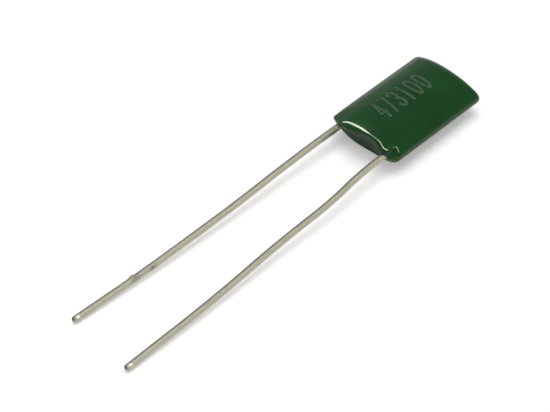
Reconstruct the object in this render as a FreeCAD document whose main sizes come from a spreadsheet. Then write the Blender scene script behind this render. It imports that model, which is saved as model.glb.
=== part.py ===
import FreeCAD, Part
import math
import os
import Sketcher
from FreeCAD import Placement, Rotation, Vector

# Radial-lead polyester film capacitor: film and foil wound together with the leads, pressed flat and
# dipped in epoxy. Millimetres. X runs along the body towards its closed end, so the leads run to -X.
# Y runs across the body and Z is up. The part lies on its broad face, as it does on a bench.

document = FreeCAD.newDocument("film_capacitor")

# Driving dimensions

SIZES = [
    ("film_width", 7.60),
    ("film_thickness", 0.045),
    ("foil_thickness", 0.030),
    ("foil_margin", 0.50),
    ("layer_gap", 0.0125),
    ("lead_diameter", 0.50),
    ("lead_spacing", 4.40),
    ("lead_margin", 1.45),
    ("lead_tip_rounding", 0.17),
    ("left_lead_length", 24.90),
    ("right_lead_length", 25.25),
    ("lead_turns", 1),
    ("core_inset", 1.18),
    ("core_bend_radius", 0.02),
    ("bow_depth", 4.70),
    ("film_start_inset", 0.12),
    ("film_end", 0.60),
    ("foil_setback", 0.60),
    ("winding_aside", 0.07),
    ("coating_gap", 0.0125),
    ("face_coat", 0.285),
    ("edge_coat", 0.35),
    ("end_coat", 0.85),
    ("body_edge_radius", 0.53),
    ("lead_end_thickness", 1.80),
    ("lead_end_width", 5.50),
    ("lead_end_draw", 0.60),
    ("closed_end_thickness", 1.80),
    ("closed_end_width", 5.80),
    ("closed_end_draw", 0.40),
    ("leg_length", 0.35),
    ("leg_root_wall", 0.30),
    ("leg_tip_wall", 0.07),
    ("leg_bury", 0.30),
]

# Sizes that follow from those. The winding is laid out from the leads outwards and inwards, and the
# coating is laid on the winding. Heights are measured from the middle plane at the body's centre line.

DERIVED = [
    ("foil_width", "film_width - 2 * foil_margin"),
    ("layer_pitch", "film_thickness + foil_thickness + 2 * layer_gap"),
    ("turn_pitch", "2 * layer_pitch"),
    ("film_offset", "foil_thickness / 2 + layer_gap + film_thickness / 2"),
    ("lead_radius", "lead_diameter / 2"),
    ("lead_reach", "lead_spacing / 2"),
    ("lead_drop", "turn_pitch / 4 * sqrt(1 + lead_reach^2 / (bow_depth^2 - (turn_pitch / 4)^2))"),
    ("lead_depth", "sqrt(lead_reach^2 + (bow_depth - lead_drop)^2) - bow_depth"),
    ("lead_layer_height", "lead_depth + lead_radius + layer_gap + foil_thickness / 2"),
    ("core_reach", "lead_reach - core_inset"),
    ("core_drop", "turn_pitch / 4 * sqrt(1 + core_reach^2 / (bow_depth^2 - (turn_pitch / 4)^2))"),
    ("core_depth", "sqrt(core_reach^2 + (bow_depth - core_drop)^2) - bow_depth"),
    ("slit_height", "core_depth + core_bend_radius + foil_thickness / 2"),
    ("core_turns", "floor((lead_layer_height - slit_height) / turn_pitch)"),
    ("first_height", "lead_layer_height - core_turns * turn_pitch"),
    ("last_film_height", "lead_layer_height + lead_turns * turn_pitch + layer_pitch + film_offset"),
    ("last_height", "last_film_height + film_thickness / 2"),
    ("winding_thickness", "2 * last_height - turn_pitch / 2"),
    ("winding_width", "2 * (lead_reach + last_height - turn_pitch / 2 - lead_depth)"),
    ("body_length", "film_width + 2 * end_coat"),
    ("body_width", "winding_width + 2 * edge_coat"),
    ("body_thickness", "winding_thickness + 2 * face_coat"),
    ("leg_root_radius", "lead_radius + leg_root_wall"),
    ("leg_tip_radius", "lead_radius + leg_tip_wall"),
]

sheet = document.addObject("Spreadsheet::Sheet", "Sizes")
cells = [(alias, str(value)) for alias, value in SIZES]
cells += [(alias, f"={formula}") for alias, formula in DERIVED]
for row, (alias, content) in enumerate(cells, start=1):
    sheet.set(f"A{row}", alias)
    sheet.set(f"B{row}", content)
    sheet.setAlias(f"B{row}", alias)
document.recompute()


def size(alias):
    """A size, read back from the sheet."""
    return float(sheet.get(alias))


half_length = size("body_length") / 2
lead_radius = size("lead_radius")

# The two leads leave the body side by side and were bent a little in handling, so each has a route of
# its own. A point is given by its distance beyond the body's end and its offset outwards from the
# lead's straight line, both as shares of the length beyond the body, and by its share of the drop from
# the body down to the bench. The first point ends the straight part, and the last one is the cut end.

LEFT_ROUTE = [
    (0.0880, 0.0000, 0.00),
    (0.2235, 0.0013, 0.16),
    (0.4310, -0.0013, 0.40),
    (0.7585, 0.0058, 0.77),
    (1.0000, 0.0188, 1.00),
]

RIGHT_ROUTE = [
    (0.0870, 0.0000, 0.00),
    (0.2283, 0.0141, 0.17),
    (0.4252, 0.0136, 0.39),
    (0.6930, 0.0251, 0.71),
    (1.0000, 0.0251, 1.00),
]

# A bend takes up this share of the shorter run beside it.
BEND_SHARE = 0.45


# Dipped form of the body

# Each end is rounded off along a quarter ellipse, which the loft's sections step through.
END_STEPS = 5

# How hollow a leg is: its side at a third of the way out has come in by more than a third.
LEG_HOLLOW = (0.35, 0.65)


def origin_plane(body, role):
    """One of the body's own origin planes."""
    return next(plane for plane in body.Origin.OriginFeatures if plane.Role == role)


def lens_sketch(body, name, station, width, thickness):
    """A lens across the body: two broad arcs, each tangent to the same two small edge arcs.

    station, width and thickness are expressions on the sheet.
    """
    sketch = body.newObject("Sketcher::SketchObject", name)
    sketch.AttachmentSupport = [(origin_plane(body, "YZ_Plane"), "")]
    sketch.MapMode = "FlatFace"
    sketch.setExpression("AttachmentOffset.Base.z", station)

    edge_formula = "Sizes.body_edge_radius"
    reach_formula = f"(({width}) / 2 - {edge_formula})"
    rise_formula = f"(({thickness}) / 2)"
    face_formula = (
        f"({reach_formula}^2 + {rise_formula}^2 - {edge_formula}^2)"
        f" / (2 * ({rise_formula} - {edge_formula}))"
    )
    edge = sheet.evalExpression(edge_formula)
    reach = sheet.evalExpression(reach_formula)
    rise = sheet.evalExpression(rise_formula)
    face = sheet.evalExpression(face_formula)
    lean = math.atan2(reach, face - rise)
    quarter = math.pi / 2

    def arc(across, height, radius, start, end):
        circle = Part.Circle(Vector(across, height, 0), Vector(0, 0, 1), radius)
        return sketch.addGeometry(Part.ArcOfCircle(circle, start, end))

    top = arc(0, rise - face, face, quarter - lean, quarter + lean)
    left = arc(-reach, 0, edge, quarter + lean, 3 * quarter - lean)
    bottom = arc(0, face - rise, face, 3 * quarter - lean, 3 * quarter + lean)
    right = arc(reach, 0, edge, lean - quarter, quarter - lean)

    def constrain(kind, *values):
        return sketch.addConstraint(Sketcher.Constraint(kind, *values))

    for here, after in [(top, left), (left, bottom), (bottom, right), (right, top)]:
        constrain("Tangent", here, 2, after, 1)
    for edge_arc in (left, right):
        constrain("PointOnObject", edge_arc, 3, -1)
    constrain("Equal", left, right)
    constrain("Equal", top, bottom)
    named = [
        ("edge_radius", constrain("Radius", right, edge), edge_formula),
        ("face_radius", constrain("Radius", top, face), face_formula),
        ("right_reach", constrain("DistanceX", -1, 1, right, 3, reach), reach_formula),
        ("left_reach", constrain("DistanceX", left, 3, -1, 1, reach), reach_formula),
    ]
    for constraint_name, index, formula in named:
        sketch.renameConstraint(index, constraint_name)
        sketch.setExpression(f"Constraints.{constraint_name}", formula)
    return sketch


def rounded_end(body, name, end, way):
    """Loft one end of the dipped form, from its small flat face in to the full lens."""
    sections = []
    for step in range(END_STEPS + 1):
        angle = math.radians(90 * step / END_STEPS)
        inwards = 1 - math.cos(angle)
        full = math.sin(angle)
        station = f"{way} * (Sizes.body_length / 2 - Sizes.{end}_draw * {inwards:.6f})"
        width = f"Sizes.{end}_width + (Sizes.body_width - Sizes.{end}_width) * {full:.6f}"
        thickness = (
            f"Sizes.{end}_thickness + (Sizes.body_thickness - Sizes.{end}_thickness) * {full:.6f}"
        )
        sections.append(lens_sketch(body, f"{name}Section{step}", station, width, thickness))
    document.recompute()
    loft = body.newObject("PartDesign::AdditiveLoft", name)
    loft.Profile = sections[0]
    loft.Sections = sections[1:]
    document.recompute()


def meniscus_leg(body, name, side):
    """The epoxy that climbs one lead: a trumpet turned about the lead, hollow towards it."""
    sketch = body.newObject("Sketcher::SketchObject", f"{name}Profile")
    sketch.AttachmentSupport = [(origin_plane(body, "XY_Plane"), "")]
    sketch.MapMode = "FlatFace"
    sketch.setExpression("AttachmentOffset.Base.x", "-Sizes.body_length / 2")
    sketch.setExpression("AttachmentOffset.Base.y", f"Sizes.winding_aside + {side} * Sizes.lead_reach")
    sketch.setExpression("AttachmentOffset.Base.z", f"{lead_start(side, 0).z}")

    root = size("leg_root_radius")
    tip = size("leg_tip_radius")
    length = size("leg_length")
    bury = size("leg_bury")
    buried_axis = Vector(bury, 0, 0)
    buried_rim = Vector(bury, root, 0)
    root_rim = Vector(0, root, 0)
    tip_rim = Vector(-length, tip, 0)
    tip_axis = Vector(-length, 0, 0)
    out_share, in_share = LEG_HOLLOW
    hollow = Vector(-length * out_share, root - (root - tip) * in_share, 0)
    profile = [
        Part.LineSegment(buried_axis, buried_rim),
        Part.LineSegment(buried_rim, root_rim),
        Part.Arc(root_rim, hollow, tip_rim),
        Part.LineSegment(tip_rim, tip_axis),
        Part.LineSegment(tip_axis, buried_axis),
    ]
    sketch.addGeometry(profile)
    turn = body.newObject("PartDesign::Revolution", name)
    turn.Profile = sketch
    turn.ReferenceAxis = (sketch, ["H_Axis"])
    document.recompute()


# Winding

# Four webs are wound together. Seen along X, every turn is made of four arcs: two broad runs, bowed
# about centres far below and above the middle, and two folds. A fold's centre lies a little off the
# middle, by the drop of its reach, which is what makes each half turn stand exactly half a pitch
# outside the one before it. So every layer keeps the same gap to its neighbours all the way round.
# The first turns fold between the leads, and the last ones fold round them: the first foil lies on the
# left lead and the second foil on the right one.

bow = size("bow_depth")
turn_pitch = size("turn_pitch")
first_height = size("first_height")
first_lead_rank = 4 * int(size("core_turns"))
fold_count = 2 * int(size("core_turns") + size("lead_turns"))

# The winding lies in the coating a little to one side, and a quarter pitch down, which centres it.
winding_place = Vector(0, size("winding_aside"), -turn_pitch / 4)


def run_centre(run):
    """Centre of a broad run's bow: below the middle for the top runs, above it for the bottom ones."""
    return Vector(0, 0, bow if run % 2 else -bow)


def fold_centre(fold, kind):
    """Centre of a fold, on the left for the even folds. kind is core or lead, what it folds round."""
    side = -1 if fold % 2 else 1
    return Vector(0, side * size(f"{kind}_reach"), -side * size(f"{kind}_drop"))


def lead_start(side, along):
    """Point of a lead's straight part, which lies in the centre of the folds round it."""
    return winding_place + fold_centre(0 if side > 0 else 1, "lead") + Vector(along, 0, 0)


def towards(start, end):
    """Unit vector from start to end."""
    return (end - start).normalize()


def arc_about(centre, radius, first, last):
    """Arc about centre between the directions of two points, the short way round."""
    middle = towards(centre, first) + towards(centre, last)
    middle.normalize()
    return Part.Arc(
        centre + towards(centre, first) * radius,
        centre + middle * radius,
        centre + towards(centre, last) * radius,
    ).toShape()


def point_on_run(run, height, across):
    """Point of a broad run at a distance across from the centre line."""
    centre = run_centre(run)
    radius = bow + height
    way = 1 if run % 2 == 0 else -1
    return centre + Vector(0, across, way * math.sqrt(radius**2 - across**2))


def face_edges(layer, height, folds, start, end):
    """Arcs of one face of a web, from across = start on the run before the first of the folds to
    across = end on the run after the last. layer is the web's place in the stack, 0 innermost.
    height is the face's height at the middle of run 0.
    """
    edges = []
    place = point_on_run(folds[0], height + folds[0] * turn_pitch / 2, start)
    for fold in folds:
        centre = fold_centre(fold, "lead" if 2 * fold + layer >= first_lead_rank else "core")
        run = run_centre(fold)
        run_radius = bow + height + fold * turn_pitch / 2
        fold_radius = run_radius - (centre - run).Length
        into = centre + towards(run, centre) * fold_radius
        out_of = centre + towards(run_centre(fold + 1), centre) * fold_radius
        edges.append(arc_about(run, run_radius, place, into))
        edges.append(arc_about(centre, fold_radius, into, out_of))
        place = out_of
    last_run = folds[-1] + 1
    last_height = height + last_run * turn_pitch / 2
    final = point_on_run(last_run, last_height, end)
    edges.append(arc_about(run_centre(last_run), bow + last_height, place, final))
    return edges


def closed_face(first_side, second_side):
    """Flat face between two open chains of arcs that run the same way."""
    starts = [side[0].valueAt(side[0].FirstParameter) for side in (first_side, second_side)]
    ends = [side[-1].valueAt(side[-1].LastParameter) for side in (first_side, second_side)]
    caps = [Part.makeLine(*starts), Part.makeLine(*ends)]
    chain = first_side + second_side + caps
    return Part.Face(Part.Wire(Part.__sortEdges__(chain)))


def web(name, label, layer, height, kind, start, end):
    """One wound web: its spiral section, drawn out along the body by the web's width.

    height is the height of its middle on the first run, and kind is film or foil.
    """
    folds = range(fold_count)
    half_thickness = size(f"{kind}_thickness") / 2
    inner = face_edges(layer, height - half_thickness, folds, start, end)
    outer = face_edges(layer, height + half_thickness, folds, start, end)
    section = document.addObject("Part::Feature", f"{name}Section")
    section.Shape = closed_face(inner, outer)
    section.Placement = Placement(winding_place, Rotation())
    return drawn_out(name, label, section, f"Sizes.{kind}_width")


def drawn_out(name, label, section, width):
    """A section drawn out along the body, both ways from the middle."""
    solid = document.addObject("Part::Extrusion", name)
    solid.Label = label
    solid.Base = section
    solid.DirMode = "Custom"
    solid.Dir = Vector(1, 0, 0)
    solid.Symmetric = True
    solid.Solid = True
    solid.setExpression("LengthFwd", width)
    return solid


# Distances across at which the webs begin and end, both on a top run: a foil begins after the films
# and ends before them, so that film lies over both of its cut edges.
film_start = size("film_start_inset") - size("core_reach")
film_end = -size("film_end")
foil_start = film_start + size("foil_setback")
foil_end = film_end - size("foil_setback")


def winding_space():
    """The room that the winding takes up in the epoxy: the last turn's outer face and a gap.

    Where the outermost film ends, the room steps in by one turn.
    """
    outer_layer = 3
    outer_height = second_film_height + size("film_thickness") / 2 + size("coating_gap")
    step = film_end + size("coating_gap")
    last_turn = range(fold_count - 2, fold_count)
    edges = face_edges(outer_layer, outer_height, last_turn, step, step)
    first_point = edges[0].valueAt(edges[0].FirstParameter)
    last_point = edges[-1].valueAt(edges[-1].LastParameter)
    edges.append(Part.makeLine(last_point, first_point))
    section = document.addObject("Part::Feature", "WindingSpaceSection")
    section.Shape = Part.Face(Part.Wire(Part.__sortEdges__(edges)))
    section.Placement = Placement(winding_place, Rotation())
    return drawn_out("WindingSpace", "WindingSpace", section, "Sizes.film_width + 2 * Sizes.coating_gap")


first_film_height = first_height + size("film_offset")
second_foil_height = first_height + size("layer_pitch")
second_film_height = second_foil_height + size("film_offset")

webs = [
    web("FirstFoil", "foil_electrode_1", 0, first_height, "foil", foil_start, foil_end),
    web("FirstFilm", "polyester_film_1", 1, first_film_height, "film", film_start, film_end),
    web("SecondFoil", "foil_electrode_2", 2, second_foil_height, "foil", foil_start, foil_end),
    web("SecondFilm", "polyester_film_2", 3, second_film_height, "film", film_start, film_end),
]


# Leads

def lead_points(side, length, route):
    """Corner points of a lead, from its inner end to its cut end. length is what shows of it."""
    inner = lead_start(side, size("foil_width") / 2 - size("lead_margin"))
    bench = lead_radius - size("body_thickness") / 2
    outside = [
        Vector(
            -half_length - length * beyond,
            inner.y + side * length * aside,
            inner.z + (bench - inner.z) * drop,
        )
        for beyond, aside, drop in route
    ]
    return [inner] + outside


def bent_path(points):
    """Straight runs joined by tangent arcs, each as wide as the shorter run beside it allows."""
    edges = []
    place = points[0]
    for before, corner, after in zip(points, points[1:], points[2:]):
        cut = BEND_SHARE * min((corner - before).Length, (after - corner).Length)
        arc_start = corner + towards(corner, before) * cut
        arc_end = corner + towards(corner, after) * cut
        half_turn = (math.pi - towards(corner, before).getAngle(towards(corner, after))) / 2
        radius = cut / math.tan(half_turn)
        bisector = (towards(corner, before) + towards(corner, after)).normalize()
        centre = corner + bisector * (radius / math.cos(half_turn))
        edges.append(Part.makeLine(place, arc_start))
        edges.append(Part.Arc(arc_start, centre - bisector * radius, arc_end).toShape())
        print(f"bend radius {radius:.1f} mm")
        place = arc_end
    edges.append(Part.makeLine(place, points[-1]))
    return Part.Wire(edges)


def lead(name, label, side, length, route):
    """One tinned wire: a round section swept along its route, with its cut end rounded by the tin."""
    points = lead_points(side, length, route)
    path = document.addObject("Part::Feature", f"{name}Route")
    path.Shape = bent_path(points)
    section = document.addObject("Part::Circle", f"{name}Section")
    section.setExpression("Radius", "Sizes.lead_radius")
    section.Placement = Placement(points[0], Rotation(Vector(0, 0, 1), towards(points[0], points[1])))
    document.recompute()

    wire = document.addObject("Part::Sweep", f"{name}Wire")
    wire.Sections = [section]
    wire.Spine = (path, [f"Edge{number}" for number in range(1, len(path.Shape.Edges) + 1)])
    wire.Solid = True
    wire.Frenet = True
    document.recompute()
    print(f"{label} volume over section times length:",
          round(wire.Shape.Volume / (math.pi * lead_radius**2 * path.Shape.Length), 4))

    rounded = document.addObject("Part::Fillet", name)
    rounded.Label = label
    rounded.Base = wire
    rounding = size("lead_tip_rounding")
    rim = min(range(len(wire.Shape.Edges)),
              key=lambda number: wire.Shape.Edges[number].CenterOfMass.distanceToPoint(points[-1]))
    rounded.Edges = [(rim + 1, rounding, rounding)]
    return rounded


leads = [
    lead("LeftLead", "lead_left", 1, size("left_lead_length"), LEFT_ROUTE),
    lead("RightLead", "lead_right", -1, size("right_lead_length"), RIGHT_ROUTE),
]


# Epoxy coating: the dipped form, with the room for the winding and the leads taken out

dipped_form = document.addObject("PartDesign::Body", "DippedForm")
middle_start = "-(Sizes.body_length / 2 - Sizes.lead_end_draw)"
middle_size = ("Sizes.body_width", "Sizes.body_thickness")
middle_lens = lens_sketch(dipped_form, "MiddleLens", middle_start, *middle_size)
document.recompute()
middle = dipped_form.newObject("PartDesign::Pad", "Middle")
middle.Profile = middle_lens
middle.setExpression("Length", "Sizes.body_length - Sizes.lead_end_draw - Sizes.closed_end_draw")
document.recompute()
rounded_end(dipped_form, "LeadEnd", "lead_end", -1)
rounded_end(dipped_form, "ClosedEnd", "closed_end", 1)
meniscus_leg(dipped_form, "LeftLeg", 1)
meniscus_leg(dipped_form, "RightLeg", -1)

rooms = [winding_space()]
for name, side in (("LeftLeadSpace", 1), ("RightLeadSpace", -1)):
    room = document.addObject("Part::Cylinder", name)
    room.setExpression("Radius", "Sizes.lead_radius + Sizes.coating_gap")
    room.setExpression("Height", "Sizes.body_length / 2 + 2 * Sizes.leg_length")
    room.Placement = Placement(lead_start(side, 0), Rotation(Vector(0, 1, 0), -90))
    rooms.append(room)

all_rooms = document.addObject("Part::MultiFuse", "AllRooms")
all_rooms.Shapes = rooms
coating = document.addObject("Part::Cut", "Coating")
coating.Label = "epoxy_coating"
coating.Base = dipped_form
coating.Tool = all_rooms
document.recompute()


def refuse_failures():
    """Stop if any object of the document could not be made."""
    failed = [item.Label for item in document.Objects if {"Invalid", "Error"} & set(item.State)]
    if failed:
        raise RuntimeError(f"not made: {failed}")


# The finished part stands on z = 0, with the origin under the middle of its outline

refuse_failures()
subparts = [coating] + leads + webs
bounds = FreeCAD.BoundBox()
for subpart in subparts:
    bounds.add(subpart.Shape.optimalBoundingBox(False))
stand = Vector(-bounds.Center.x, -bounds.Center.y, -bounds.ZMin)
for subpart in subparts:
    subpart.Placement = Placement(stand, Rotation())
document.recompute()
refuse_failures()

os.makedirs("parts", exist_ok=True)
for subpart in subparts:
    shape = subpart.Shape
    if shape.isNull() or not shape.isValid():
        raise RuntimeError(f"{subpart.Label} has no valid shape")
    shape.exportStep(f"parts/{subpart.Label}.step")
    box = shape.optimalBoundingBox(False)
    print(subpart.Label, len(shape.Solids), "solid", round(shape.Volume, 3), "mm3",
          [round(value, 3) for value in (box.XMin, box.XMax, box.YMin, box.YMax, box.ZMin, box.ZMax)])
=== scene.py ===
"""Polyester film capacitor with two wire leads, dipped in green epoxy, lying on its broad face.

The sections follow the way the part is put together: the wound foils and films, the two wires
welded to the foils, the epoxy that they are dipped in and its stamp. The bench and the light
come last. Lengths are metres. X runs along the body, away from the leads, and Z is up.
"""
import math

import bpy
import numpy as np
from mathutils import Matrix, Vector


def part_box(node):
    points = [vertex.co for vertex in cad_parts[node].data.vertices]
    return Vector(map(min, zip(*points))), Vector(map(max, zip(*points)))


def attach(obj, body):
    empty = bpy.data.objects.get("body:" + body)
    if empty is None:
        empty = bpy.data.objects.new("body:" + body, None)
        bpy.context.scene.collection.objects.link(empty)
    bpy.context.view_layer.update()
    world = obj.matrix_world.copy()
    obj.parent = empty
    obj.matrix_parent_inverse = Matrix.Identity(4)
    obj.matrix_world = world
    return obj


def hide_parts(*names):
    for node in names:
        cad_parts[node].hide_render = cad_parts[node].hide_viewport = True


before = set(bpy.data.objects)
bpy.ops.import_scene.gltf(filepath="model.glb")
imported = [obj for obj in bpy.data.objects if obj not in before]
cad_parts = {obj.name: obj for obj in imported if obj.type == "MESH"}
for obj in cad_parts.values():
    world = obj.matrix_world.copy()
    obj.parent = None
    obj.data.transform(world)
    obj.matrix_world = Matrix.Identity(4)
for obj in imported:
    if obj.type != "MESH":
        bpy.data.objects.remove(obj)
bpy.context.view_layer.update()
mm = 0.001


# Foil electrodes. Two strips of aluminium foil, rolled up with the films between them. They are
# bright rolled metal, with fine lines along the strip and the creases that pressing leaves.

def new_material(name, **sockets):
    """A material with a Principled shader, with those of its own sockets set that are the same all over."""
    material = bpy.data.materials.new(name)
    material.use_nodes = True
    shader = material.node_tree.nodes["Principled BSDF"]
    for socket, value in sockets.items():
        shader.inputs[socket.replace("_", " ")].default_value = value
    return material, shader


def add_node(material, kind, values=None, **settings):
    """A node of that kind in the material, with its settings and the values of its inputs."""
    node = material.node_tree.nodes.new(kind)
    for setting, value in settings.items():
        setattr(node, setting, value)
    for socket, value in (values or {}).items():
        node.inputs[socket].default_value = value
    return node


def wire_up(material, *links):
    """Joins each pair of sockets, from the output to the input."""
    for output, entry in links:
        material.node_tree.links.new(output, entry)


def paint_node(node, material):
    """Gives a CAD node that stays as it is this material in place of its plain one."""
    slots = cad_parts[node].data.materials
    slots.clear()
    slots.append(material)


def grain_group():
    """Node group for fine lines along a web or a wire.

    A noise on the piece's own coordinates is drawn out along X by the Stretch, and gives a mask
    from 0 to 1 and a normal that tilts with the noise's slope.
    """
    group = bpy.data.node_groups.new("drawn_grain", "ShaderNodeTree")
    for name, kind, value in [("Scale", "NodeSocketFloat", 8000.0), ("Stretch", "NodeSocketFloat", 0.05),
                              ("Depth", "NodeSocketFloat", 0.000002)]:
        socket = group.interface.new_socket(name=name, in_out="INPUT", socket_type=kind)
        socket.default_value = value
    group.interface.new_socket(name="Mask", in_out="OUTPUT", socket_type="NodeSocketFloat")
    group.interface.new_socket(name="Normal", in_out="OUTPUT", socket_type="NodeSocketVector")
    nodes, links = group.nodes, group.links
    entry = nodes.new("NodeGroupInput")
    result = nodes.new("NodeGroupOutput")
    place = nodes.new("ShaderNodeTexCoord")
    scales = nodes.new("ShaderNodeCombineXYZ")
    scales.inputs["Y"].default_value = 1.0
    scales.inputs["Z"].default_value = 1.0
    stretched = nodes.new("ShaderNodeVectorMath")
    stretched.operation = "MULTIPLY"
    noise = nodes.new("ShaderNodeTexNoise")
    noise.inputs["Detail"].default_value = 3.0
    bump = nodes.new("ShaderNodeBump")
    links.new(entry.outputs["Stretch"], scales.inputs["X"])
    links.new(place.outputs["Object"], stretched.inputs[0])
    links.new(scales.outputs["Vector"], stretched.inputs[1])
    links.new(stretched.outputs["Vector"], noise.inputs["Vector"])
    links.new(entry.outputs["Scale"], noise.inputs["Scale"])
    links.new(noise.outputs["Fac"], bump.inputs["Height"])
    links.new(entry.outputs["Depth"], bump.inputs["Distance"])
    links.new(noise.outputs["Fac"], result.inputs["Mask"])
    links.new(bump.outputs["Normal"], result.inputs["Normal"])
    return group


grain = grain_group()

foil, foil_shader = new_material("rolled_foil", Metallic=1.0, Roughness=0.28)
foil_grain = add_node(foil, "ShaderNodeGroup", node_tree=grain)
foil_grain.inputs["Scale"].default_value = 9000.0
foil_grain.inputs["Stretch"].default_value = 0.08
foil_colour = add_node(foil, "ShaderNodeMix", data_type="RGBA")
foil_colour.inputs["A"].default_value = (0.66, 0.66, 0.68, 1)
foil_colour.inputs["B"].default_value = (0.86, 0.86, 0.88, 1)
wire_up(foil,
        (foil_grain.outputs["Mask"], foil_colour.inputs["Factor"]),
        (foil_colour.outputs["Result"], foil_shader.inputs["Base Color"]),
        (foil_grain.outputs["Normal"], foil_shader.inputs["Normal"]))
for node in ("foil_electrode_1", "foil_electrode_2"):
    paint_node(node, foil)


# Polyester films. Two clear webs, wider than the foils, that keep them apart. Clear film looks
# milky where many turns lie on each other, with a faint haze that varies along it.

film, film_shader = new_material("polyester_film", Roughness=0.16, IOR=1.64)
film_grain = add_node(film, "ShaderNodeGroup", node_tree=grain)
film_grain.inputs["Scale"].default_value = 2500.0
film_grain.inputs["Stretch"].default_value = 0.3
film_grain.inputs["Depth"].default_value = 0.000001
film_colour = add_node(film, "ShaderNodeMix", data_type="RGBA")
film_colour.inputs["A"].default_value = (0.56, 0.60, 0.57, 1)
film_colour.inputs["B"].default_value = (0.80, 0.83, 0.80, 1)
wire_up(film,
        (film_grain.outputs["Mask"], film_colour.inputs["Factor"]),
        (film_colour.outputs["Result"], film_shader.inputs["Base Color"]),
        (film_grain.outputs["Normal"], film_shader.inputs["Normal"]))
for node in ("polyester_film_1", "polyester_film_2"):
    paint_node(node, film)


# Leads. Two tinned wires of copper-clad steel, welded to the foils and cropped to length. Handling
# has bent each of them a little, and a tool has nicked the left one near its end. Painted shade
# darkens one side of each, and a painted glint lightens each near its cropped end.

WIRE_RADIUS = 0.25 * mm
BEND_SHARE = 0.45
TIP_ROUNDING = 0.235 * mm
AROUND_WIRE = 40
WIRE_RINGS = 520
DOME_RINGS = 12
RIPPLE_SHARE = 0.012
RIPPLES = [(0.83 * mm, 0), (0.47 * mm, 1), (2.1 * mm, 2)]
# Painted shade: the wire's colour is darkened round this line, on one side of the wire.
SHADE_LINE = math.radians(130)
SHADE_NARROWING = 2.4
# Painted glint: a bright spot in the wire's colour at this distance from the cropped end and angle round
# it.
GLINT_PLACE = (0.40 * mm, 1.0)
GLINT_SPREAD = (0.10 * mm, 0.40)
LEG_LENGTH = 0.35 * mm
BODY_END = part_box("epoxy_coating")[0].x + LEG_LENGTH

# Where each lead leaves the body, across and up, how much of it shows, and its route. A point of a
# route is its distance beyond the body and its offset outwards, both as shares of what shows, and
# its share of the drop to the bench.

LEFT_PLACE = (2.270 * mm, 1.219 * mm)
LEFT_LENGTH = 24.90 * mm
LEFT_ROUTE = [
    (0.0880, 0.0000, 0.00),
    (0.2235, 0.0013, 0.16),
    (0.4310, -0.0013, 0.40),
    (0.7585, 0.0058, 0.77),
    (1.0000, 0.0188, 1.00),
]
RIGHT_PLACE = (-2.130 * mm, 1.330 * mm)
RIGHT_LENGTH = 25.25 * mm
RIGHT_ROUTE = [
    (0.0870, 0.0000, 0.00),
    (0.2283, 0.0141, 0.17),
    (0.4252, 0.0136, 0.39),
    (0.6930, 0.0251, 0.71),
    (1.0000, 0.0251, 1.00),
]


def lead_corners(node, place, length, route):
    """Corner points of a lead, from its end in the winding, where the CAD has it, to its cropped end."""
    y, z = place
    beyond, aside, drop = np.array(route).T
    return np.stack([
        np.r_[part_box(node)[1].x, BODY_END - length * beyond],
        np.r_[y, y + math.copysign(length, y) * aside],
        np.r_[z, z + (WIRE_RADIUS - z) * drop],
    ], axis=1)


def wire_line(corners):
    """Centre line of a wire: straight runs joined by parabolas.

    A bend leaves one run and joins the next at the same distance from their corner, which is a
    fixed share of the shorter run. In between, a point is the mean of the two ends and the corner,
    weighted by (1 - t) squared, t squared and 2 t (1 - t).
    """
    runs = np.diff(corners, axis=0)
    lengths = np.linalg.norm(runs, axis=1)
    ways = runs / lengths[:, None]
    cut = BEND_SHARE * np.minimum(lengths[:-1], lengths[1:])[:, None]
    corner = corners[1:-1]
    leaves = (corner - ways[:-1] * cut)[:, None]
    joins = (corner + ways[1:] * cut)[:, None]
    t = np.linspace(0, 1, 60)[None, :, None]
    bends = (1 - t) ** 2 * leaves + 2 * t * (1 - t) * corner[:, None] + t**2 * joins
    return np.vstack([corners[:1], bends.reshape(-1, 3), corners[-1:]])


def grid_mesh(name, points, closed_ends):
    """Mesh object from a grid of points whose rows are closed rings.

    points has the shape rows, columns, 3. closed_ends holds the two points that close the first
    and the last ring. A face joins four neighbours, and its corners turn so that it faces outwards
    where the rings turn anticlockwise as seen from the last row.
    """
    rows, columns = points.shape[:2]
    number = np.arange(rows * columns).reshape(rows, columns)
    beside = np.roll(number, -1, axis=1)
    quads = np.stack([number[:-1], beside[:-1], beside[1:], number[1:]], axis=-1).reshape(-1, 4)
    first = np.full(columns, rows * columns)
    start_fan = np.stack([first, beside[0], number[0]], axis=-1)
    end_fan = np.stack([first + 1, number[-1], beside[-1]], axis=-1)
    vertices = np.vstack([points.reshape(-1, 3), closed_ends])
    mesh = bpy.data.meshes.new(name)
    mesh.from_pydata(vertices.tolist(), [], quads.tolist() + start_fan.tolist() + end_fan.tolist())
    mesh.shade_smooth()
    piece = bpy.data.objects.new(name, mesh)
    bpy.context.scene.collection.objects.link(piece)
    return piece


def bump_at(values, centre, spread):
    """Smooth hill of height 1 at centre: e to the power of minus the squared distance in spreads."""
    return np.exp(-(((values - centre) / spread) ** 2))


def turned_from(angle, place):
    """The angle from a place on a circle, the short way round: positive on one side of it."""
    return np.angle(np.exp(1j * (angle - place)))


def mark_points(piece, name, values):
    """Gives a grid mesh an attribute: a value for each point of its rings, and 0 for its two ends."""
    mark = piece.data.attributes.new(name, "FLOAT", "POINT")
    mark.data.foreach_set("value", np.r_[values.ravel(), 0, 0])


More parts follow.
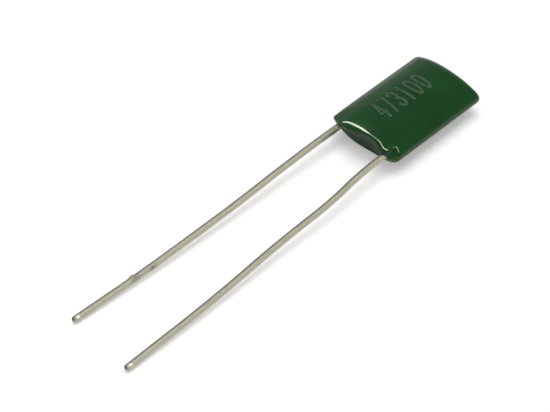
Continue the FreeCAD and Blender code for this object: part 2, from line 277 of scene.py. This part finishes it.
def wire_piece(name, corners, nicks):
    """Tinned wire: rings across its centre line, which close in to a dome at either end.

    The radius is that of the wire, times a slow ripple of the tin, which is a sum of three sines
    along the wire. In the dome it follows a quarter circle. A nick is a hill, or a dent where its
    height is negative. It is given as its distance from the cropped end, its angle round the wire,
    its length, its width in radians and its height.
    Three attributes go with it: scuff round the nicks, a painted glint, which is a bright hill near
    the cropped end, and painted shade on one side, which is half of 1 + cos of the angle from the
    shade line. Past that line the angle counts more, so that the shaded side is narrow there.
    """
    line = wire_line(corners)
    along = np.r_[0, np.cumsum(np.linalg.norm(np.diff(line, axis=0), axis=1))]
    length = along[-1]
    dome = TIP_ROUNDING * (1 - np.cos(np.linspace(0.12, math.pi / 2, DOME_RINGS)))
    between = np.linspace(TIP_ROUNDING, length - TIP_ROUNDING, WIRE_RINGS)[1:-1]
    places = np.r_[dome, between, (length - dome)[::-1]]
    centre = np.stack([np.interp(places, along, line[:, axis]) for axis in range(3)], axis=1)
    way = np.gradient(centre, axis=0)
    way /= np.linalg.norm(way, axis=1)[:, None]
    left = np.cross(np.array([0, 0, 1]), way)
    left /= np.linalg.norm(left, axis=1)[:, None]
    up = np.cross(way, left)

    from_end = np.minimum(places, length - places)
    inside = np.clip(1 - from_end / TIP_ROUNDING, 0, 1)
    rounding = 1 - TIP_ROUNDING / WIRE_RADIUS * (1 - np.sqrt(1 - inside**2))
    ripple = sum(np.sin(places / reach + start) for reach, start in RIPPLES) / len(RIPPLES)
    radius = WIRE_RADIUS * rounding * (1 - RIPPLE_SHARE * (1 + ripple))

    angle = np.linspace(0, 2 * math.pi, AROUND_WIRE, endpoint=False)
    before_end = (length - places)[:, None]
    reach = radius[:, None] * np.ones(AROUND_WIRE)
    scuff = np.zeros_like(reach)
    for distance, turn, nick_length, nick_width, height in nicks:
        turned = turned_from(angle, turn)
        reach = reach + height * bump_at(before_end, distance, nick_length) * bump_at(turned, 0, nick_width)
        around = bump_at(before_end, distance, 1.6 * nick_length) * bump_at(turned, 0, 2 * nick_width)
        scuff = np.maximum(scuff, around)
    across = np.cos(angle)[None, :, None] * left[:, None] + np.sin(angle)[None, :, None] * up[:, None]
    points = centre[:, None] + reach[:, :, None] * across
    piece = grid_mesh(name, points, [centre[0], centre[-1]])
    mark_points(piece, "scuff", scuff)
    # Painted shade on one side of the wire, darkest at the shade line.
    from_shade = turned_from(angle, SHADE_LINE)
    from_shade = np.where(from_shade > 0, np.minimum(SHADE_NARROWING * from_shade, math.pi), from_shade)
    mark_points(piece, "painted_shade_side", np.tile(0.5 + 0.5 * np.cos(from_shade), len(places)))
    # Painted glint: a bright hill in the colour near the cropped end.
    glint = bump_at(before_end, GLINT_PLACE[0], GLINT_SPREAD[0])
    glint = glint * bump_at(turned_from(angle, GLINT_PLACE[1]), 0, GLINT_SPREAD[1])
    mark_points(piece, "painted_glint", glint)
    return piece


# A burr, the two nicks beside it, and a stain by the body, which has no height.
LEFT_NICKS = [
    (5.20 * mm, 2.3, 0.20 * mm, 0.8, 0.075 * mm),
    (5.45 * mm, 0.6, 0.16 * mm, 0.5, -0.045 * mm),
    (6.72 * mm, 0.4, 0.20 * mm, 0.5, -0.025 * mm),
    (24.10 * mm, 1.5, 0.50 * mm, 2.5, 0.000 * mm),
]

left_corners = lead_corners("lead_left", LEFT_PLACE, LEFT_LENGTH, LEFT_ROUTE)
right_corners = lead_corners("lead_right", RIGHT_PLACE, RIGHT_LENGTH, RIGHT_ROUTE)
lead_left = wire_piece("lead_left_tinned", left_corners, LEFT_NICKS)
lead_right = wire_piece("lead_right_tinned", right_corners, [])

tin, tin_shader = new_material("tinned_wire", Metallic=0.5)
tin_grain = add_node(tin, "ShaderNodeGroup", node_tree=grain)
tin_grain.inputs["Scale"].default_value = 11000.0
tin_grain.inputs["Stretch"].default_value = 0.025
tin_grain.inputs["Depth"].default_value = 0.0000022
tin_blotch = add_node(tin, "ShaderNodeTexNoise", {"Scale": 900.0, "Detail": 4.0, "Roughness": 0.6})
tin_place = add_node(tin, "ShaderNodeTexCoord")
tin_colour = add_node(tin, "ShaderNodeMix", data_type="RGBA")
tin_colour.inputs["A"].default_value = (0.94, 0.88, 0.71, 1)
tin_colour.inputs["B"].default_value = (1.0, 0.95, 0.77, 1)
tin_roughness = add_node(tin, "ShaderNodeMapRange", {"To Min": 0.52, "To Max": 0.68})
tin_scuff = add_node(tin, "ShaderNodeAttribute", attribute_name="scuff")
tin_scuffed = add_node(tin, "ShaderNodeMix", data_type="RGBA")
tin_scuffed.inputs["B"].default_value = (0.20, 0.195, 0.155, 1)
# Painted shade: the tin's colour is mixed towards near black on one side of the wire.
tin_shade_side = add_node(tin, "ShaderNodeAttribute", attribute_name="painted_shade_side")
tin_shaded = add_node(tin, "ShaderNodeMix", data_type="RGBA")
tin_shaded.inputs["B"].default_value = (0.085, 0.081, 0.069, 1)
# Painted glint: the tin's colour is mixed towards near white near the cropped end.
tin_glint = add_node(tin, "ShaderNodeAttribute", attribute_name="painted_glint")
tin_glinted = add_node(tin, "ShaderNodeMix", data_type="RGBA")
tin_glinted.inputs["B"].default_value = (1.0, 0.99, 0.92, 1)
tin_broken = add_node(tin, "ShaderNodeMath", operation="MULTIPLY", use_clamp=True)
tin_amount = add_node(tin, "ShaderNodeMapRange", {"From Min": 0.35, "From Max": 0.6, "To Max": 1.4})
wire_up(tin,
        (tin_place.outputs["Object"], tin_blotch.inputs["Vector"]),
        (tin_blotch.outputs["Fac"], tin_colour.inputs["Factor"]),
        (tin_blotch.outputs["Fac"], tin_amount.inputs["Value"]),
        (tin_amount.outputs["Result"], tin_broken.inputs[0]),
        (tin_scuff.outputs["Fac"], tin_broken.inputs[1]),
        (tin_broken.outputs["Value"], tin_scuffed.inputs["Factor"]),
        (tin_colour.outputs["Result"], tin_shaded.inputs["A"]),
        (tin_shade_side.outputs["Fac"], tin_shaded.inputs["Factor"]),
        (tin_shaded.outputs["Result"], tin_scuffed.inputs["A"]),
        (tin_scuffed.outputs["Result"], tin_glinted.inputs["A"]),
        (tin_glint.outputs["Fac"], tin_glinted.inputs["Factor"]),
        (tin_glinted.outputs["Result"], tin_shader.inputs["Base Color"]),
        (tin_grain.outputs["Mask"], tin_roughness.inputs["Value"]),
        (tin_roughness.outputs["Result"], tin_shader.inputs["Roughness"]),
        (tin_grain.outputs["Normal"], tin_shader.inputs["Normal"]))

for piece, node in ((lead_left, "lead_left"), (lead_right, "lead_right")):
    piece.data.materials.append(tin)
    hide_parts(node)
    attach(piece, "root")


# Epoxy coating. The pressed winding is dipped in green epoxy, leads up, so the coat is a pillow
# with soft edges. It climbs each lead in a small cone as it sets and sags a little between them.

coat_low, coat_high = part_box("epoxy_coating")
STAMP_LIFT = 0.004 * mm
NEAR_END = coat_low.x + 0.01 * mm
FAR_END = coat_high.x - 0.05 * mm
HALF_WIDTH = 3.10 * mm
HALF_THICKNESS = (coat_high.z - coat_low.z - STAMP_LIFT) / 2
EDGE_RADIUS = 0.53 * mm
RING_QUARTER = 96
NEAR_ROWS = (64, 34)
MIDDLE_ROWS = 60
FAR_ROWS = (26, 24)


def lens_ring(half_width, half_thickness, edge, count):
    """Section of the pillow: two broad arcs and two edge arcs, each tangent to its neighbours.

    The broad arcs' radius is (reach squared + half thickness squared - edge squared) over twice
    (half thickness - edge), where reach is the half width less the edge radius. The ring starts at
    the middle of the upper arc and turns towards +Y, and a quarter of it takes count points.
    """
    reach = half_width - edge
    broad = (reach**2 + half_thickness**2 - edge**2) / (2 * (half_thickness - edge))
    lean = math.atan2(reach, broad - half_thickness)
    on_face = np.linspace(0, lean, count * 3 // 5, endpoint=False)
    on_edge = np.linspace(lean, math.pi / 2, count - len(on_face), endpoint=False)
    across = np.r_[broad * np.sin(on_face), reach + edge * np.sin(on_edge)]
    height = np.r_[half_thickness - broad + broad * np.cos(on_face), edge * np.cos(on_edge)]
    far_across = np.r_[across[1:], half_width][::-1]
    far_height = -np.r_[height[1:], 0.0][::-1]
    right_half = (np.r_[across, far_across], np.r_[height, far_height])
    return np.r_[right_half[0], -right_half[0]], np.r_[right_half[1], -right_half[1]]


def mixed(upward, above, beside, below):
    """A value that changes round a section: above on top, beside at the edges, below underneath."""
    return beside + np.where(upward > 0, above - beside, below - beside) * np.abs(upward) ** 1.5


def faded(from_end, reach):
    """1 at the near end, and e to the minus distance over the reach further in."""
    return np.exp(-from_end / reach)


def past(y, edge, blend):
    """0 on the right of the edge and 1 on its left: half of 1 + tanh of the distance over the blend."""
    return 0.5 + 0.5 * np.tanh((y - edge) / blend)


def hill(y, height, middle, spread):
    """A smooth hill or dent across the coat."""
    return height * bump_at(y, middle, spread)


CLIMB = 0.12 * mm
CLIMB_RIM = 0.27 * mm
CLIMB_BLEND = 0.02 * mm
CLIMB_FALL = 0.14 * mm
CLIMB_REACH = 0.35 * mm


def climb_height(across, height):
    """How far the epoxy climbs at each place of the near end: for each lead, a hill that is level
    out to a thin rim round the wire and from there falls off as e to the minus distance."""
    total = np.zeros_like(across)
    for lead_y, lead_z in (LEFT_PLACE, RIGHT_PLACE):
        off = np.hypot(across - lead_y, height - lead_z) - CLIMB_RIM
        outside = CLIMB_BLEND * np.logaddexp(0, off / CLIMB_BLEND)
        total = np.maximum(total, np.exp(-outside / CLIMB_FALL))
    return CLIMB * total


# Form of the near end. A hill is its height, its middle across the coat and its spread. An edge is
# its place across the coat and the width over which it blends.

UNDERCUT = 0.90 * mm
CORNER_BOW = 0.20 * mm
ARCH = (0.22 * mm, -0.5 * mm, 1.3 * mm)
CHEEK = (0.15 * mm, -2.00 * mm, 0.35 * mm)
FACE_REACH = 0.8 * mm
BULGE = (0.06 * mm, 1.3 * mm, 1.0 * mm)
BULGE_REACH = 0.5 * mm
STEP = 0.73 * mm
STEP_EDGE = (-2.41 * mm, 0.08 * mm)
STEP_REACH = 2.0 * mm


def face_shift(y, z, from_end):
    """How far the near end stands back along X from a flat face.

    It is the sum of five moves, each of which fades over a reach of its own: an undercut in
    proportion to the depth under the top, a bow towards the left corner with the fourth power of y,
    an arch between the leads, which ends in a cheek over the right one, a step back on the right of
    that lead, and, outwards, the greater of the climb up the leads and a bulge by the left one.
    """
    raised = z / HALF_THICKNESS - 1
    undercut = UNDERCUT * (1 - raised) / 2
    corner_bow = CORNER_BOW * np.clip(y / HALF_WIDTH, 0, 1) ** 4
    arch = hill(y, *ARCH) - hill(y, *CHEEK) * np.clip(1.5 * raised, 0, 1)
    step = STEP * (1 - past(y, *STEP_EDGE)) * np.clip(2 * raised, 0, 1)
    climb = climb_height(y, z) * faded(from_end, CLIMB_REACH)
    bulge = hill(y, *BULGE) * faded(from_end, BULGE_REACH)
    back = (undercut + corner_bow + arch) * faded(from_end, FACE_REACH) + step * faded(from_end, STEP_REACH)
    return back - np.maximum(climb, bulge)


SAG = (0.40 * mm, 0.9 * mm, 1.7 * mm)
CORNER_SAG = 0.34 * mm
CORNER_EDGE = (1.90 * mm, 0.38 * mm)
FOOT = (1.0, -2.25 * mm, 0.40 * mm)
FOOT_EDGE = (-2.46 * mm, 0.06 * mm)
FOOT_SAG = 0.36 * mm
SAG_REACH = 1.2 * mm
SLOPE = 0.188
SLOPE_LEAN = 0.03
SLOPE_CORNER = 0.089
SLOPE_EASE = (0.055, -0.5 * mm, 1.2 * mm)
SLOPE_FOOT = 0.20
SLOPE_OUTSIDE = 0.04
ASIDE_UNIT = 1.6 * mm
OUTSIDE_EDGE = -2.3 * mm
OUTSIDE_BLEND = 0.1 * mm
SOFTNESS = 0.034 * mm
SOFTNESS_OUTSIDE = 0.026 * mm
LEDGE = np.array([(-1.8, 0.55), (-1.3, 0.33), (-1.0, 0.30), (1.3, 0.40), (1.5, 0.38), (1.9, 0.17)]) * mm


def shoulder_drop(y, z, from_end, upper):
    """How far the upper side sinks towards the near end.

    The sag is the sum of a hill, a fall at the left corner and a hollow at the foot of the right
    lead, which ends at an edge. The bevel falls away evenly outside the ledge, a line across the
    coat that is given as places and distances from the end: it is the slope times the softplus of
    the distance beyond that line. The slope changes across the coat, and grows outside that lead.
    """
    foot = hill(y, *FOOT) * past(y, *FOOT_EDGE)
    sag = hill(y, *SAG) + CORNER_SAG * past(y, *CORNER_EDGE) + FOOT_SAG * foot
    aside = np.clip(y / ASIDE_UNIT, -1, 2)
    outside = np.clip((OUTSIDE_EDGE - y) / OUTSIDE_BLEND, 0, 1)
    slope = SLOPE + SLOPE_LEAN * aside + SLOPE_CORNER * np.clip(aside, 0, 1.3) ** 2
    slope = slope - hill(y, *SLOPE_EASE) - SLOPE_FOOT * foot + SLOPE_OUTSIDE * outside
    beyond = np.interp(y, LEDGE[:, 0], LEDGE[:, 1]) - from_end
    softness = SOFTNESS + SOFTNESS_OUTSIDE * outside
    bevel = slope * softness * np.logaddexp(0, beyond / softness)
    return sag * faded(from_end, SAG_REACH) * upper + bevel * np.clip(3 * (z / HALF_THICKNESS - 1), 0, 1)


def coat_points():
    """The coat as rings along the body, from the middle of the near end to that of the far end.

    A ring is the full section times a scale. Over the flat of an end the scale grows evenly from
    nothing. Over the rounding it is k + (1 - k) sin a while the ring moves in by the draw times
    (1 - cos a), as a goes from 0 to a right angle. k and the draw change round the section. The
    near end is then shifted along X and lowered as face_shift and shoulder_drop say.
    """
    across, height = lens_ring(HALF_WIDTH, HALF_THICKNESS, EDGE_RADIUS, RING_QUARTER)
    upward = height / HALF_THICKNESS
    leftward = past(across, 0, 1.0 * mm)

    def end_rows(draw, share, flat_rows, round_rows):
        scale_flat = share[None] * np.linspace(0.015, 1, flat_rows)[:, None]
        angle = np.linspace(0, math.pi / 2, round_rows)[1:, None]
        scale_round = share[None] + (1 - share[None]) * np.sin(angle)
        inwards = np.vstack([np.zeros_like(scale_flat), draw[None] * (1 - np.cos(angle))])
        return np.vstack([scale_flat, scale_round]), inwards

    near_share = mixed(upward, above=0.88, beside=0.84 + 0.05 * leftward, below=0.70)
    near_top_draw = 0.24 - 0.17 * np.clip(across / (0.8 * mm) - 1.2, 0, 1)
    near_draw = mixed(upward, above=near_top_draw, beside=0.85 - 0.40 * leftward, below=0.50) * mm
    near_scale, near_inwards = end_rows(near_draw, near_share, *NEAR_ROWS)
    near_x = NEAR_END + near_inwards

    far_share = mixed(upward, above=0.46, beside=0.95, below=0.52)
    far_draw = mixed(upward, above=0.95, beside=0.30, below=0.70) * mm
    far_scale, far_inwards = end_rows(far_draw, far_share, *FAR_ROWS)
    far_x = FAR_END - far_inwards

    middle = np.linspace(0, 1, MIDDLE_ROWS)[1:-1, None]
    middle_x = near_x[-1] + (far_x[-1] - near_x[-1]) * middle
    x = np.vstack([near_x, middle_x, far_x[::-1]])
    scale = np.vstack([near_scale, np.ones_like(middle_x), far_scale[::-1]])
    y = scale * across
    z = scale * height + HALF_THICKNESS
    from_end = x - NEAR_END
    drop = shoulder_drop(y, z, from_end, np.clip(upward * scale, 0, 1))
    return np.stack([x + face_shift(y, z, from_end), y, z - drop], axis=-1)


coat_grid = coat_points()
near_pole = coat_grid[0].mean(axis=0)
far_pole = coat_grid[-1].mean(axis=0)
coating = grid_mesh("epoxy_coating_dipped", coat_grid[:, ::-1], [near_pole, far_pole])

# Painted sheen: the coat's colour is paler and yellower low down on its rim, standing in for the
# light that the edge reflects and lets through.
SHEEN_TOP = 1.61 * mm
SHEEN_BLEND = 1.15 * mm
SHEEN_RIM = 2.7 * mm
low = np.clip((SHEEN_TOP - coat_grid[..., 2]) / SHEEN_BLEND, 0, 1)
outer = np.clip(np.abs(coat_grid[..., 1]) / SHEEN_RIM, 0, 1)
mark_points(coating, "painted_rim_sheen", (low * outer**8)[:, ::-1])

epoxy, epoxy_shader = new_material("green_epoxy", IOR=1.5, Specular_IOR_Level=0.1, Coat_Weight=1.0,
                                    Coat_Roughness=0.05, Coat_IOR=1.5)
epoxy_place = add_node(epoxy, "ShaderNodeTexCoord")
epoxy_shade = add_node(epoxy, "ShaderNodeTexNoise", {"Scale": 420.0, "Detail": 3.0, "Roughness": 0.55})
epoxy_shade_range = add_node(epoxy, "ShaderNodeMapRange", {"From Min": 0.35, "From Max": 0.65})
epoxy_colour = add_node(epoxy, "ShaderNodeMix", data_type="RGBA")
epoxy_colour.inputs["A"].default_value = (0.0040, 0.046, 0.0080, 1)
epoxy_colour.inputs["B"].default_value = (0.0053, 0.056, 0.0100, 1)
# Painted sheen on the low rim, mixed into the green.
epoxy_rim_sheen = add_node(epoxy, "ShaderNodeAttribute", attribute_name="painted_rim_sheen")
epoxy_edge_colour = add_node(epoxy, "ShaderNodeMix", data_type="RGBA")
epoxy_edge_colour.inputs["B"].default_value = (0.120, 0.230, 0.045, 1)
epoxy_edge_amount = add_node(epoxy, "ShaderNodeMath", operation="MULTIPLY")
epoxy_edge_amount.inputs[1].default_value = 0.9
epoxy_skin = add_node(epoxy, "ShaderNodeTexNoise", {"Scale": 1500.0, "Detail": 2.0})
epoxy_bump = add_node(epoxy, "ShaderNodeBump", {"Distance": 0.000006, "Strength": 1.0})
epoxy_roughness = add_node(epoxy, "ShaderNodeMapRange", {"To Min": 0.16, "To Max": 0.30})
wire_up(epoxy,
        (epoxy_place.outputs["Object"], epoxy_shade.inputs["Vector"]),
        (epoxy_place.outputs["Object"], epoxy_skin.inputs["Vector"]),
        (epoxy_shade.outputs["Fac"], epoxy_shade_range.inputs["Value"]),
        (epoxy_shade_range.outputs["Result"], epoxy_colour.inputs["Factor"]),
        (epoxy_colour.outputs["Result"], epoxy_edge_colour.inputs["A"]),
        (epoxy_rim_sheen.outputs["Fac"], epoxy_edge_amount.inputs[0]),
        (epoxy_edge_amount.outputs["Value"], epoxy_edge_colour.inputs["Factor"]),
        (epoxy_edge_colour.outputs["Result"], epoxy_shader.inputs["Base Color"]),
        (epoxy_shade.outputs["Fac"], epoxy_roughness.inputs["Value"]),
        (epoxy_roughness.outputs["Result"], epoxy_shader.inputs["Roughness"]),
        (epoxy_skin.outputs["Fac"], epoxy_bump.inputs["Height"]),
        (epoxy_bump.outputs["Normal"], epoxy_shader.inputs["Normal"]))
coating.data.materials.append(epoxy)
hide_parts("epoxy_coating")
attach(coating, "root")


# Stamp. A value code in plain digits, printed on the coat with a rubber stamp in pale ink, which
# took unevenly. The ink is a skin that lies a few thousandths of a millimetre above the coat.

STAMP_TEXT = "473100"
DIGIT_HEIGHT = 1.80 * mm
DIGIT_WIDTH = 0.52 * mm
DIGIT_PITCH = 0.86 * mm
STROKE = 0.24 * mm
STAMP_MIDDLE = (12.38 * mm, 0.35 * mm)
STAMP_GRID = (300, 124)


def bow(middle, reach, first, last):
    """Points on an oval round middle, between two angles in degrees."""
    angle = np.radians(np.linspace(first, last, 25))
    return np.stack([middle[0] + reach[0] * np.cos(angle), middle[1] + reach[1] * np.sin(angle)], axis=1)


DIGITS = {
    "0": [bow((0, 0), (0.5, 0.5), 0, 360)],
    "1": [np.array([(-0.25, 0.3), (0.05, 0.5), (0.05, -0.5)])],
    "3": [bow((0, 0.26), (0.45, 0.24), 160, -90), bow((0, -0.24), (0.5, 0.26), 90, -160)],
    "4": [np.array([(0.22, -0.5), (0.22, 0.5), (-0.5, -0.2), (0.5, -0.2)])],
    "7": [np.array([(-0.45, 0.5), (0.45, 0.5), (-0.1, -0.5)])],
}


def stamp_skin():
    """Mesh of the ink: the cells of a fine grid that a stroke covers, laid on the coat.

    For each grid point, the nearest point of any stroke is found by dropping a perpendicular on
    every straight run and keeping its foot within the run. A cell stays where its middle is nearer
    than half the stroke, and points that lie further out move in to that distance.
    """
    starts, ends = [], []
    for number, digit in enumerate(STAMP_TEXT):
        place = (number - (len(STAMP_TEXT) - 1) / 2) * DIGIT_PITCH
        for line in DIGITS[digit]:
            run = line * (DIGIT_WIDTH, DIGIT_HEIGHT) + (place, 0)
            starts.append(run[:-1])
            ends.append(run[1:])
    starts, ends = np.vstack(starts), np.vstack(ends)
    reach_x = len(STAMP_TEXT) * DIGIT_PITCH / 2
    reach_y = DIGIT_HEIGHT / 2 + STROKE
    along = np.linspace(-reach_x, reach_x, STAMP_GRID[0])
    beside = np.linspace(-reach_y, reach_y, STAMP_GRID[1])
    grid = np.stack(np.meshgrid(along, beside, indexing="ij"), axis=-1)
    points = grid.reshape(-1, 1, 2)
    ways = ends - starts
    share = (((points - starts) * ways).sum(-1) / (ways**2).sum(-1)).clip(0, 1)
    feet = starts + share[..., None] * ways
    gaps = np.linalg.norm(points - feet, axis=-1)
    nearest = gaps.argmin(axis=1)
    rows = np.arange(len(points))
    foot, gap = feet[rows, nearest], gaps[rows, nearest]
    pulled = np.minimum(1, STROKE / 2 / np.maximum(gap, 1e-9))[:, None]
    flat = foot + (points[:, 0] - foot) * pulled
    number = np.arange(len(points)).reshape(grid.shape[:2])
    corners = [number[:-1, :-1], number[1:, :-1], number[1:, 1:], number[:-1, 1:]]
    quads = np.stack(corners, axis=-1).reshape(-1, 4)
    inked = quads[gap[quads].mean(axis=1) < STROKE / 2]
    used, inked = np.unique(inked, return_inverse=True)
    inked = inked.reshape(-1, 4)
    x = flat[used, 0] + STAMP_MIDDLE[0]
    y = flat[used, 1] + STAMP_MIDDLE[1]
    reach = HALF_WIDTH - EDGE_RADIUS
    broad = (reach**2 + HALF_THICKNESS**2 - EDGE_RADIUS**2) / (2 * (HALF_THICKNESS - EDGE_RADIUS))
    z = 2 * HALF_THICKNESS - broad + np.sqrt(broad**2 - y**2) + STAMP_LIFT
    mesh = bpy.data.meshes.new("stamped_value")
    mesh.from_pydata(np.stack([x, y, z], axis=1).tolist(), [], inked.tolist())
    mesh.shade_smooth()
    return mesh


stamp = bpy.data.objects.new("stamped_value", stamp_skin())
bpy.context.scene.collection.objects.link(stamp)
ink, ink_shader = new_material("stamp_ink", Roughness=0.34, IOR=1.5)
ink_place = add_node(ink, "ShaderNodeTexCoord")
ink_blotch = add_node(ink, "ShaderNodeTexNoise", {"Scale": 2600.0, "Detail": 3.0, "Roughness": 0.6})
ink_range = add_node(ink, "ShaderNodeMapRange", {"From Min": 0.36, "From Max": 0.60})
ink_colour = add_node(ink, "ShaderNodeMix", data_type="RGBA")
ink_colour.inputs["A"].default_value = (0.010, 0.055, 0.016, 1)
ink_colour.inputs["B"].default_value = (0.032, 0.074, 0.040, 1)
wire_up(ink,
        (ink_place.outputs["Object"], ink_blotch.inputs["Vector"]),
        (ink_blotch.outputs["Fac"], ink_range.inputs["Value"]),
        (ink_range.outputs["Result"], ink_colour.inputs["Factor"]),
        (ink_colour.outputs["Result"], ink_shader.inputs["Base Color"]))
stamp.data.materials.append(ink)
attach(stamp, "root")


# Bench. White paper, which stays white in the picture wherever no shadow falls on it. It is darker
# in reflections than to the camera, which keeps the sides of the coat deep green.

BENCH_TOP = -0.01 * mm
bench_corners = [(-1, -1, BENCH_TOP), (1, -1, BENCH_TOP), (1, 1, BENCH_TOP), (-1, 1, BENCH_TOP)]
bench_mesh = bpy.data.meshes.new("bench")
bench_mesh.from_pydata(bench_corners, [], [(0, 1, 2, 3)])
bench = bpy.data.objects.new("bench", bench_mesh)
bpy.context.scene.collection.objects.link(bench)
paper, paper_shader = new_material("white_paper", Roughness=0.9)
paper_rays = add_node(paper, "ShaderNodeLightPath")
paper_glow = add_node(paper, "ShaderNodeMath", operation="MULTIPLY")
paper_glow.inputs[1].default_value = 0.28
paper_colour = add_node(paper, "ShaderNodeMix", data_type="RGBA")
paper_colour.inputs["A"].default_value = (0.74, 0.74, 0.74, 1)
paper_colour.inputs["B"].default_value = (0.40, 0.40, 0.40, 1)
paper_shader.inputs["Emission Color"].default_value = (1, 1, 1, 1)
wire_up(paper,
        (paper_rays.outputs["Is Glossy Ray"], paper_colour.inputs["Factor"]),
        (paper_colour.outputs["Result"], paper_shader.inputs["Base Color"]),
        (paper_rays.outputs["Is Camera Ray"], paper_glow.inputs[0]),
        (paper_glow.outputs["Value"], paper_shader.inputs["Emission Strength"]))
bench_mesh.materials.append(paper)


# Light. A long soft box overhead only gives the streaks on the shoulder of the coat, and two square
# ones only light matt surfaces and throw the shadows. Reflections find a room that is pale near the
# bench and dim overhead, matt surfaces get more of it from the right, and the camera sees it white.

def soft_box(name, toward, long_way, distance, length, width, power):
    """Rectangular lamp that faces the object from the direction toward, its long side along long_way."""
    toward = np.array(toward, float) / np.linalg.norm(toward)
    long_way = np.array(long_way, float)
    long_way -= toward * (long_way @ toward)
    long_way /= np.linalg.norm(long_way)
    lamp_data = bpy.data.lights.new(name, "AREA")
    lamp_data.shape = "RECTANGLE"
    lamp_data.size = length
    lamp_data.size_y = width
    lamp_data.energy = power
    lamp = bpy.data.objects.new(name, lamp_data)
    bpy.context.scene.collection.objects.link(lamp)
    side = np.cross(toward, long_way)
    pose = np.eye(4)
    pose[:3, 0], pose[:3, 1], pose[:3, 2] = long_way, side, toward
    pose[:3, 3] = toward * distance
    lamp.matrix_world = Matrix(pose.tolist())
    return lamp


streak_box = soft_box("long_soft_box", toward=(0.16, 0.29, 0.944), long_way=(0, 1, 0),
                      distance=0.413, length=1.1, width=0.065, power=3.8)
streak_box.data.color = (0.97, 1.0, 0.90)
streak_box.visible_diffuse = False
main_box = soft_box("main_soft_box", toward=(0.22, 0.14, 0.966), long_way=(0, 1, 0),
                    distance=0.5, length=0.38, width=0.38, power=1.42)
main_box.visible_glossy = False
left_box = soft_box("left_soft_box", toward=(-0.48, 0.14, 0.866), long_way=(0, 1, 0),
                    distance=0.5, length=0.38, width=0.38, power=0.57)
left_box.visible_glossy = False

world = bpy.data.worlds.new("room")
bpy.context.scene.world = world
world.use_nodes = True
room_nodes, room_links = world.node_tree.nodes, world.node_tree.links
room_nodes.clear()
room_place = room_nodes.new("ShaderNodeTexCoord")
room_axes = room_nodes.new("ShaderNodeSeparateXYZ")
room_fall = room_nodes.new("ShaderNodeMapRange")
room_fall.interpolation_type = "SMOOTHSTEP"
room_fall.inputs["From Min"].default_value = 0.10
room_fall.inputs["From Max"].default_value = 0.75
room_fall.inputs["To Min"].default_value = 0.36
room_fall.inputs["To Max"].default_value = 0.16
room_side = room_nodes.new("ShaderNodeVectorMath")
room_side.operation = "DOT_PRODUCT"
room_side.inputs[1].default_value = (0.26, -0.36, 0.0)
room_ambient = room_nodes.new("ShaderNodeMath")
room_ambient.operation = "ADD"
room_ambient.inputs[1].default_value = 0.56
room_rays = room_nodes.new("ShaderNodeLightPath")
room_soft = room_nodes.new("ShaderNodeMix")
room_white = room_nodes.new("ShaderNodeMix")
room_white.inputs["B"].default_value = 1.0
room_light = room_nodes.new("ShaderNodeBackground")
room_out = room_nodes.new("ShaderNodeOutputWorld")
for output, entry in [
    (room_place.outputs["Generated"], room_axes.inputs["Vector"]),
    (room_axes.outputs["Z"], room_fall.inputs["Value"]),
    (room_place.outputs["Generated"], room_side.inputs[0]),
    (room_side.outputs["Value"], room_ambient.inputs[0]),
    (room_fall.outputs["Result"], room_soft.inputs["A"]),
    (room_ambient.outputs["Value"], room_soft.inputs["B"]),
    (room_rays.outputs["Is Diffuse Ray"], room_soft.inputs["Factor"]),
    (room_soft.outputs["Result"], room_white.inputs["A"]),
    (room_rays.outputs["Is Camera Ray"], room_white.inputs["Factor"]),
    (room_white.outputs["Result"], room_light.inputs["Strength"]),
    (room_light.outputs["Background"], room_out.inputs["Surface"]),
]:
    room_links.new(output, entry)


# Camera. It looks down at the part from over the leads, at the angle that the outline of the body
# and the two wires gave.

CAMERA_AZIMUTH = math.radians(314.670)
CAMERA_HEIGHT = math.radians(46.279)
CAMERA_DISTANCE = 0.150
AIM = np.array([0.102, 0.805, 0.0]) * mm
FOCAL_PIXELS = 2159.09
PICTURE_WIDTH = 550

back = np.array([
    math.sin(CAMERA_AZIMUTH) * math.cos(CAMERA_HEIGHT),
    -math.cos(CAMERA_AZIMUTH) * math.cos(CAMERA_HEIGHT),
    math.sin(CAMERA_HEIGHT),
])
right = np.array([math.cos(CAMERA_AZIMUTH), math.sin(CAMERA_AZIMUTH), 0.0])
camera_data = bpy.data.cameras.new("camera")
camera_data.sensor_width = 36.0
camera_data.lens = FOCAL_PIXELS * camera_data.sensor_width / PICTURE_WIDTH
camera_data.clip_start = 0.01
camera = bpy.data.objects.new("camera", camera_data)
camera_pose = np.eye(4)
camera_pose[:3, 0], camera_pose[:3, 1], camera_pose[:3, 2] = right, np.cross(back, right), back
camera_pose[:3, 3] = AIM + CAMERA_DISTANCE * back
camera.matrix_world = Matrix(camera_pose.tolist())
bpy.context.scene.collection.objects.link(camera)
bpy.context.scene.camera = camera
bpy.context.scene.view_settings.view_transform = "Standard"
